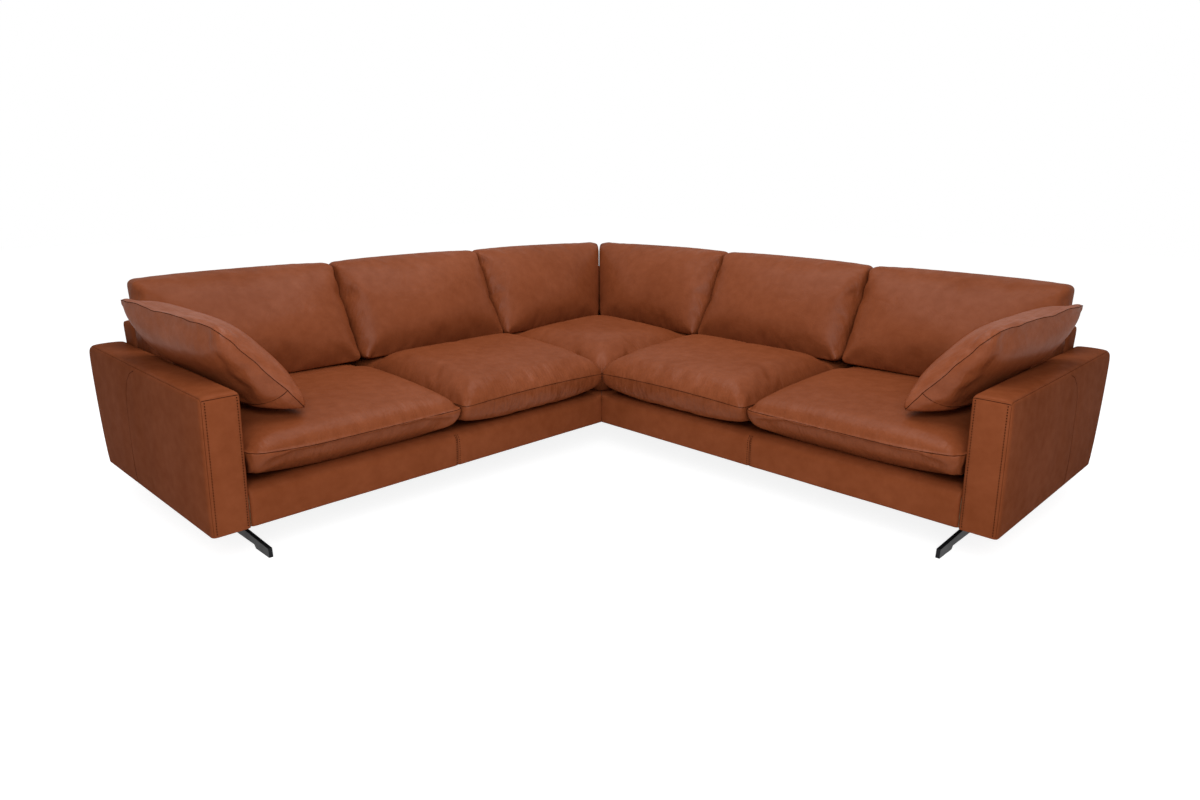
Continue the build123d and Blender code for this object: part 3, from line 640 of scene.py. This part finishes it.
def fill_out(piece, held, pressure, cap, limits):
    """The cover filled by its stuffing: a short simulation in which held points stay still."""
    rest = [vert.co.copy() for vert in piece.data.vertices]
    pins = piece.vertex_groups.new(name="held")
    pins.add(held, 1.0, "REPLACE")
    smooth = piece.modifiers["smooth"]
    smooth.show_viewport = False
    stuffing = piece.modifiers.new("stuffing", "CLOTH")
    cover = stuffing.settings
    cover.quality = 5
    cover.mass = 0.5
    cover.tension_stiffness = 20
    cover.compression_stiffness = 20
    cover.shear_stiffness = 10
    cover.bending_stiffness = 1.5
    cover.shrink_min = -0.010
    cover.use_pressure = True
    cover.uniform_pressure_force = pressure
    cover.vertex_group_mass = "held"
    cover.effector_weights.gravity = 0
    stuffing.collision_settings.use_collision = False
    stuffing.point_cache.frame_end = 20
    scene = bpy.context.scene
    for number in range(1, 19):
        scene.frame_set(number)
    filled = piece.evaluated_get(bpy.context.evaluated_depsgraph_get())
    for vert, old, new in zip(piece.data.vertices, rest, [v.co.copy() for v in filled.data.vertices]):
        move = new - old
        if move.length > cap:
            move = move.normalized() * cap
        vert.co = limits(old + move)
    piece.modifiers.remove(stuffing)
    piece.vertex_groups.remove(pins)
    smooth.show_viewport = True
    scene.frame_set(1)


seat_base, seat_level, seat_back, land, seat_front = 0.2593, 0.4232, 0.203, 0.408, 1.105
flat_depth = 0.405
seat_cuts = (0.004, 0.012, 0.025, 0.042)


def seat_rise(v):
    """Share of a seat's crown along its depth: none under the back cushion, then a quick rise
    and a slow fall to the front."""
    behind = max(0, 1 - min(1, max(0, v - land) / 0.16))
    fall = max(0, v - 0.60) / (seat_front - 0.60)
    return (1 - behind**2.2) ** 0.78 * (1 - 0.8 * fall**2)


def seat_top(v, crown):
    return seat_level + crown * seat_rise(v)


def edge_rise(inside, reach):
    """How far a cushion has risen at a distance inside its edge, from 0 to 1."""
    if inside >= reach:
        return 1.0
    return max(0, 1 - (1 - max(0, inside) / reach) ** 2.5) ** 0.5


def joined_rise(*rises):
    """The rise where several edges are near, kept full in the corners."""
    return 1 - min(1, sum((1 - rise) ** 2 for rise in rises) ** 0.5)


def seat_block(start, end, crown, lip, sole, roll, turn):
    """A seat cushion's cover before it is filled, the pull of its seams, its front seam and its sole.
    The lip and the sole are the heights of the seam and of the front's underside along the cushion."""
    length, depth = end - start, seat_front - seat_back
    block = sliced_block((
        spaced(length, 0.021, seat_cuts),
        spaced(depth, 0.021, seat_cuts),
        (0.08, 0.2, 0.36, 0.54, 0.72, 0.86, 0.96),
    ))
    creases, sewn, laid = {}, {}, []
    for vert in block.verts:
        s = vert.co.copy()
        u, v = start + s.x * length, seat_back + s.y * depth
        aside, ahead = min(s.x, 1 - s.x) * length, seat_front - v
        rim = lip(s.x)
        if s.z > 0.999:
            top = seat_top(v, crown) - 0.010 * abs(2 * s.x - 1) ** 2.4
            sides = edge_rise(u - start, roll), edge_rise(end - u, 0.12)
            rise = joined_rise(*sides, edge_rise(ahead, 0.09), edge_rise(v - seat_back, 0.03))
            z = rim + (top - rim) * rise
            ripple = noise.noise(Vector((u * 42, v * 6, start))) * min(1, ahead / 0.03)
            z += 0.0018 * math.exp(-ahead / 0.05) * ripple
            if v > 0.9 and (s.y > 0.999 or min(s.x, 1 - s.x) < 0.001):
                sewn[vert] = s.x - (1 - s.y) if s.x < 0.5 else s.x + (1 - s.y)
        else:
            lift = min(1, max(0, (v - 0.90) / 0.10))
            low = seat_base + (sole(s.x) - seat_base) * lift * lift * (3 - 2 * lift)
            z = low + s.z * (rim - low)
        if s.z < 0.001:
            laid.append(vert)
        if aside < turn and ahead < turn:
            corner = Vector((turn - aside, turn - ahead))
            eased = corner.normalized() * max(corner) if corner.length > 0 else corner
            u += (corner.x - eased.x) * (1 if s.x < 0.5 else -1)
            v += eased.y - corner.y
        if s.y > 0.999 and s.z > 0.999:
            v -= 0.003
        if s.z < 0.999:
            under = 1 - math.sqrt(max(0, 1 - (1 - s.z) ** 2))
            v -= 0.085 * under * s.y**6
            u += 0.022 * under * (1 - 2 * s.x) ** 5
        front_pull = math.exp(-max(ahead, 0) / 0.085)
        side_pull = math.exp(-aside / 0.05)
        creases[vert] = (front_pull * (1 - 0.7 * side_pull), side_pull * 0.6)
        vert.co = Vector((u, v, z))
    return block, creases, sewn, laid


def padded_cover(block, creases, name, body, node):
    """The cover of a cushion in its place, with the pull of its seams in a map for its creases."""
    pucker = block.loops.layers.uv.new("pucker")
    for face in block.faces:
        for corner in face.loops:
            corner[pucker].uv = creases[corner.vert]
    for vert in block.verts:
        vert.co = at(*vert.co)
    piece = finished(block, name, body, creased, [node])
    return piece


def seat_cushion(name, start, end, crown, lip, sole, roll, turn):
    """A wing's seat cushion with its seam, and the same pair on the left wing."""
    block, creases, sewn, laid = seat_block(start, end, crown, lip, sole, roll, turn)
    block.verts.index_update()
    seam_row = [vert.index for vert in sorted(sewn, key=sewn.get)]
    held = seam_row + [vert.index for vert in laid]
    held += [vert.index for vert in block.verts if vert.co.y < flat_depth]
    body = f"right_{name}"
    cushion = padded_cover(block, creases, f"{body}_leather_cushion", body, f"{body}_cushion")

    def limits(point):
        u, v = wing_place(point)
        u, v = min(max(u, start - 0.0015), end + 0.0015), min(v, seat_front + 0.006)
        ceiling = seat_level if v < flat_depth else seat_top(v, crown) + 0.006
        past = v - u + 0.002
        if past > 0:
            u, v = u + past / 2, v - past / 2
        return at(u, v, min(point.z, ceiling))

    fill_out(cushion, held, 4.0, 0.020, limits)
    line = [cushion.data.vertices[number].co + Vector((0, -0.0004, 0)) for number in seam_row]
    lip_seam = seam(line, f"{body}_seam", body)
    left_twin(cushion, [f"left_{name}_cushion"])
    left_twin(lip_seam, levels=0)


def end_lip(share):
    return 0.361 + 0.018 * max(0, (share - 0.7) / 0.3) ** 1.5


def end_sole(share):
    inner, outer = max(0, (0.3 - share) / 0.3), max(0, (share - 0.55) / 0.45)
    return 0.263 + 0.022 * inner**2.5 + 0.026 * outer**2


def mid_lip(share):
    return 0.373 - 0.010 * (2 * share - 1) ** 2


def mid_sole(share):
    return 0.263 + 0.026 * abs(2 * share - 1) ** 3


end_crown = 0.045
seat_cushion("end_seat", 1.855, 2.682, end_crown, end_lip, end_sole, 0.10, 0.042)
seat_cushion("mid_seat", 1.083, 1.849, 0.051, mid_lip, mid_sole, 0.11, 0.030)

# Corner seat cushion: a square of the same make, held between the wings' cushions and four backs.
# It is level under the back cushions and crowned before them, and its front corner is rounded off.
corner_end, corner_rim, corner_turn, corner_cap = 1.077, 0.352, 0.06, 0.480
corner_block = sliced_block((
    spaced(corner_end - seat_back, 0.021, seat_cuts),
    spaced(corner_end - seat_back, 0.021, seat_cuts),
    (0.12, 0.3, 0.5, 0.7, 0.86, 0.96),
))
corner_creases, corner_held = {}, []
corner_block.verts.index_update()
for vert in corner_block.verts:
    s = vert.co.copy()
    u, v = (seat_back + share * (corner_end - seat_back) for share in s.xy)
    across, ahead = corner_end - u, corner_end - v
    z = seat_base + s.z * (corner_rim - seat_base)
    if s.z > 0.999:
        top = seat_level + 0.056 * seat_rise(u) * seat_rise(v)
        behind = edge_rise(u - seat_back, 0.03), edge_rise(v - seat_back, 0.03)
        rise = joined_rise(edge_rise(across, 0.14), edge_rise(ahead, 0.14), *behind)
        z = corner_rim + (top - corner_rim) * rise
    if across < corner_turn and ahead < corner_turn:
        reach = Vector((corner_turn - across, corner_turn - ahead))
        eased = reach.normalized() * max(reach) if reach.length > 0 else reach
        u, v = u + eased.x - reach.x, v + eased.y - reach.y
    under = (1 - s.z) ** 2 * 0.030
    corner_creases[vert] = (0.5 * math.exp(-ahead / 0.07), 0.5 * math.exp(-across / 0.07))
    vert.co = Vector((u - under * s.x**6, v - under * s.y**6, z))
    if s.z < 0.001 or u < flat_depth or v < flat_depth:
        corner_held.append(vert.index)
corner_seat = padded_cover(
    corner_block, corner_creases, "corner_seat_leather_cushion", "sofa_frame", "corner_seat_cushion"
)


def corner_limits(point):
    u, v = (min(place, corner_end + 0.001) for place in wing_place(point))
    return at(u, v, min(point.z, seat_level if min(u, v) < flat_depth else corner_cap))


fill_out(corner_seat, corner_held, 4.0, 0.020, corner_limits)

# Back cushions: loose leaning wedges of fibre in a soft cover, flat where they stand on the seat.
# Their fronts belly out, their heads are round, and the hide pulls in at the lower corners.
foot_level, back_high, foot_depth, head_depth, head_top = 0.4240, 0.417, 0.225, 0.090, 0.842
back_cuts = (0.004, 0.012, 0.026, 0.042)


def back_block(start, end, mitred):
    length = end - start
    block = sliced_block((
        spaced(length, 0.021, back_cuts),
        spaced(0.2, 0.035, (0.006, 0.016, 0.03)),
        spaced(back_high, 0.021, back_cuts),
    ))
    creases = {}
    for vert in block.verts:
        s = vert.co.copy()
        thick = foot_depth + (head_depth - foot_depth) * s.z
        size = Vector((length, thick, back_high))
        p = softened(Vector((s.x * length, s.y * thick, s.z * back_high)), size, 0.027)
        belly = max(0, 1 - abs(2 * s.x - 1) ** 2.6) ** 0.8 * max(0, math.sin(math.pi * s.z**0.85)) ** 0.9
        slump = noise.noise(Vector(((start + p.x) * 5.5, p.z * 7, start)))
        p.y += (0.058 * belly + 0.007 * slump * belly**0.5) * s.y**2
        p.z -= 0.010 * abs(2 * s.x - 1) ** 3 * s.z**6
        if mitred:
            p.z -= 0.022 * (1 - s.x) ** 1.3 * s.z**3
        v = back_line(foot_level + p.z) + back_rest + p.y
        u = start + p.x
        if mitred:
            u = v + 0.003 + p.x / length * (end - v - 0.003)
        edge = min(s.x, 1 - s.x) * length
        foot = s.z * back_high
        creases[vert] = (0.7 * math.exp(-foot / 0.05) * s.y, 0.9 * math.exp(-edge / 0.05))
        vert.co = Vector((u, v, foot_level + p.z))
    return block, creases


def back_cushion(start, end, body, mitred):
    block, creases = back_block(start, end, mitred)
    block.verts.index_update()
    held = []
    for vert in block.verts:
        behind = vert.co.y - back_line(vert.co.z) - back_rest
        if vert.co.z < foot_level + 0.004 or behind < 0.02:
            held.append(vert.index)
    piece = padded_cover(block, creases, f"{body}_leather_cushion", body, f"{body}_cushion")

    def limits(point):
        u, v = wing_place(point)
        u = min(max(u, start - 0.0015), end + 0.0015)
        if mitred:
            u = max(u, v + 0.002)
        z = min(max(point.z, foot_level), head_top)
        return at(u, max(v, back_line(point.z) + back_rest - 0.001), z)

    fill_out(piece, held, 4.0, 0.022, limits)
    return piece


back_spans = (("end_back", 1.855, 2.682), ("mid_back", 1.055, 1.849), ("corner_back", 0.12, 1.049))
for name, start, end in back_spans:
    cushion = back_cushion(start, end, f"right_{name}", name == "corner_back")
    left_twin(cushion, [f"left_{name}_cushion"])

# Arm pillows: oblong, loosely stuffed and sewn all round on a knife edge, leaning over each arm.
# The edges pull in between the corners, fine creases run in from the seam, and the hide is more polished
# than the seats'; its colour is painted a little paler, standing in for the light on the pillow's upper
# face.
pillow_head = at(2.681, 0.932, 0.750)
pillow_foot = at(2.428, 0.985, 0.4520)
pillow_run = Vector((0.098, 0.614, 0.041))
pillow_face = pillow_run.cross(pillow_foot - pillow_head).normalized()
pillow_long, pillow_wide, pillow_cuts = 0.61, 0.43, (0.004, 0.012, 0.026)
pillow_rows = spaced(pillow_wide, 0.017, pillow_cuts)
pillow = sliced_block((spaced(pillow_long, 0.017, pillow_cuts), pillow_rows, (0.5,)))
pillow_join = min(pillow_rows, key=lambda row: abs(row - 0.72))
pillow_cross, pillow_creases, pillow_line, pillow_held = {}, {}, {}, []
pillow.verts.index_update()
for vert in pillow.verts:
    s = vert.co.copy()
    a, b = 2 * s.x - 1, 2 * s.y - 1
    blunt = 0.022 * (a * b) ** 4 + 0.016 * (a * b) ** 14
    pinch_a = (0.012 * (1 - b * b) + blunt) * a
    pinch_b = (0.010 * (1 - a * a) + blunt * 1.3) * b
    along, down = (s.x - pinch_a - 0.022) / 0.956, (s.y - pinch_b - 0.0286) / 0.9428
    head = pillow_head + pillow_run * along
    foot = pillow_foot + pillow_run * along * 0.8
    place = head + (foot - head) * down
    dome = max(0, (1 - abs(a) ** 3.8) * (1 - abs(b) ** 3.0)) ** 0.55
    wave = 0.010 * noise.noise(Vector((s.x * 4.2, s.y * 3.6, 5.0)))
    wave += 0.004 * noise.noise(Vector((s.x * 11, s.y * 9, 2.0)))
    swell = 0.105 * dome * (2 * s.z - 1)
    if s.z < 0.001 and s.x < 0.36:
        swell += 0.004 * math.exp(-(((s.y - pillow_join) / 0.022) ** 2)) * min(1, (0.36 - s.x) / 0.08)
        if abs(s.y - pillow_join) < 1e-4:
            pillow_cross[vert.index] = s.x
    edge = min((1 - abs(a)) * pillow_long / 2, (1 - abs(b)) * pillow_wide / 2)
    ripple = noise.noise(Vector((s.x * 26, s.y * 20, s.z * 5))) * min(1, edge / 0.02)
    swell += 0.0035 * math.exp(-edge / 0.05) * ripple
    spans = ((b, pillow_wide), (a, pillow_long))
    pillow_creases[vert] = [math.exp(-(1 - abs(near)) * far / 2 / 0.06) for near, far in spans]
    vert.co = place + pillow_face * (swell + wave * (1 - dome) + 0.0012 * (2 * s.z - 1))
    vert.co = Vector((*wing_place(vert.co), vert.co.z))
    if edge < 1e-6:
        pillow_held.append(vert.index)
        if abs(s.z - 0.5) < 1e-6:
            pillow_line[vert.index] = math.atan2(b, a)
right_pillow = padded_cover(
    pillow, pillow_creases, "right_leather_pillow", "right_pillow", "right_arm_pillow"
)
pillow_hide_painted_lighter = creased.copy()
pillow_hide_painted_lighter.name = "pillow_leather"
pillow_tree = pillow_hide_painted_lighter.node_tree
pillow_shader = pillow_tree.nodes["Principled BSDF"]
# Painted light: the pillow's base colour is lifted to stand in for the light falling on its upper face.
painted_light_lift = new_node(pillow_tree, "ShaderNodeHueSaturation", {}, Value=1.16)
pillow_tree.links.new(pillow_shader.inputs["Base Color"].links[0].from_socket, painted_light_lift.inputs["Color"])
pillow_tree.links.new(painted_light_lift.outputs["Color"], pillow_shader.inputs["Base Color"])
pillow_shader.inputs["Base Color"].default_value = (0.22, 0.054, 0.018, 1)
pillow_tree.nodes["Map Range"].inputs["To Max"].default_value = 0.62
right_pillow.data.materials[0] = pillow_hide_painted_lighter


def pillow_limits(point):
    """Keeps the pillow off the arm's inner edge and the seat."""
    u, v = wing_place(point)
    over, beside = arm_top + 0.009 - point.z, u - arm_inner + 0.007
    if over > 0 and beside > 0:
        if over < beside:
            point.z += over
        else:
            point.x -= beside
    if u < arm_inner:
        point.z = max(point.z, seat_top(v, end_crown) + 0.008)
    return point


pillow_held += list(pillow_cross)
fill_out(right_pillow, pillow_held, 5.0, 0.014, pillow_limits)
left_twin(right_pillow, ["left_arm_pillow"])
round_edge = sorted(pillow_line, key=pillow_line.get)
pillow_points = [vert.co.copy() for vert in right_pillow.data.vertices]
edge_row = [pillow_points[number] for number in round_edge + round_edge[:1]]
left_twin(seam(edge_row, "right_pillow_seam", "right_pillow", 0.0012), levels=0)
cross_order = sorted(pillow_cross, key=pillow_cross.get)
cross_row = [pillow_points[number] - pillow_face * 0.0005 for number in cross_order]
left_twin(seam(cross_row, "right_pillow_cross_seam", "right_pillow"), levels=0)

# Studio: a pale sweep, a broad soft light over the front and a camera on the sofa's diagonal.
# The background is plain white to the camera, and the floor keeps the sofa's soft shadow.
scene = bpy.context.scene
scene.view_settings.view_transform = "Standard"
floor_mesh = bmesh.new()
bmesh.ops.create_grid(floor_mesh, x_segments=1, y_segments=1, size=12)
floor_data = bpy.data.meshes.new("floor")
floor_mesh.to_mesh(floor_data)
floor_mesh.free()
floor = bpy.data.objects.new("floor", floor_data)
scene.collection.objects.link(floor)
floor_paint, floor_shader = new_finish("floor_paint", (0.86, 0.86, 0.86), 0.9)
floor_tree = floor_paint.node_tree
glow = new_node(floor_tree, "ShaderNodeEmission", {}, Strength=1.72)


def white_backdrop(tree):
    """Where a ray shows the backdrop itself, straight or in a reflection, and doesn't light the sofa."""
    rays = new_node(tree, "ShaderNodeLightPath", {})
    mirrored = new_node(tree, "ShaderNodeMath", {"operation": "ADD"})
    shown = new_node(tree, "ShaderNodeMath", {"operation": "ADD", "use_clamp": True})
    tree.links.new(rays.outputs["Is Glossy Ray"], mirrored.inputs[0])
    tree.links.new(rays.outputs["Is Transmission Ray"], mirrored.inputs[1])
    tree.links.new(rays.outputs["Is Camera Ray"], shown.inputs[0])
    tree.links.new(mirrored.outputs["Value"], shown.inputs[1])
    return shown.outputs["Value"]


part = new_node(floor_tree, "ShaderNodeMath", {"operation": "MULTIPLY"})
part.inputs[1].default_value = 0.5
blend = new_node(floor_tree, "ShaderNodeMixShader", {})
floor_tree.links.new(white_backdrop(floor_tree), part.inputs[0])
floor_tree.links.new(part.outputs["Value"], blend.inputs[0])
floor_tree.links.new(floor_shader.outputs[0], blend.inputs[1])
floor_tree.links.new(glow.outputs[0], blend.inputs[2])
floor_tree.links.new(blend.outputs[0], floor_tree.nodes["Material Output"].inputs["Surface"])
floor_data.materials.append(floor_paint)

world = bpy.data.worlds.new("studio")
scene.world = world
world.use_nodes = True
sky = world.node_tree.nodes["Background"]
sky_level = new_node(world.node_tree, "ShaderNodeMapRange", {}, To_Min=0.29, To_Max=1.0)
world.node_tree.links.new(white_backdrop(world.node_tree), sky_level.inputs["Value"])
world.node_tree.links.new(sky_level.outputs["Result"], sky.inputs["Strength"])
sky.inputs["Color"].default_value = (1, 1, 1, 1)


def soft_light(name, place, aim, size, power):
    lamp = bpy.data.lights.new(name, "AREA")
    lamp.shape = "DISK"
    lamp.size = size
    lamp.energy = power
    holder = bpy.data.objects.new(name, lamp)
    holder.location = place
    holder.rotation_euler = (Vector(aim) - Vector(place)).to_track_quat("-Z", "Y").to_euler()
    scene.collection.objects.link(holder)


soft_light("front_light", (2.5, -2.5, 2.6), (-0.4, 0.4, 0.35), 3.0, 114)
soft_light("top_light", (-0.4, 0.4, 3.6), (-0.4, 0.4, 0.0), 3.2, 84)

camera_data = bpy.data.cameras.new("camera")
camera_data.sensor_width = 36
camera_data.lens = 25.457
camera_data.shift_y = -0.0376
camera = bpy.data.objects.new("camera", camera_data)
camera.location = (2.2266, -2.3221, 1.2847)
camera.rotation_euler = (1.34585, -0.00818, 0.7715)
scene.collection.objects.link(camera)
scene.camera = camera
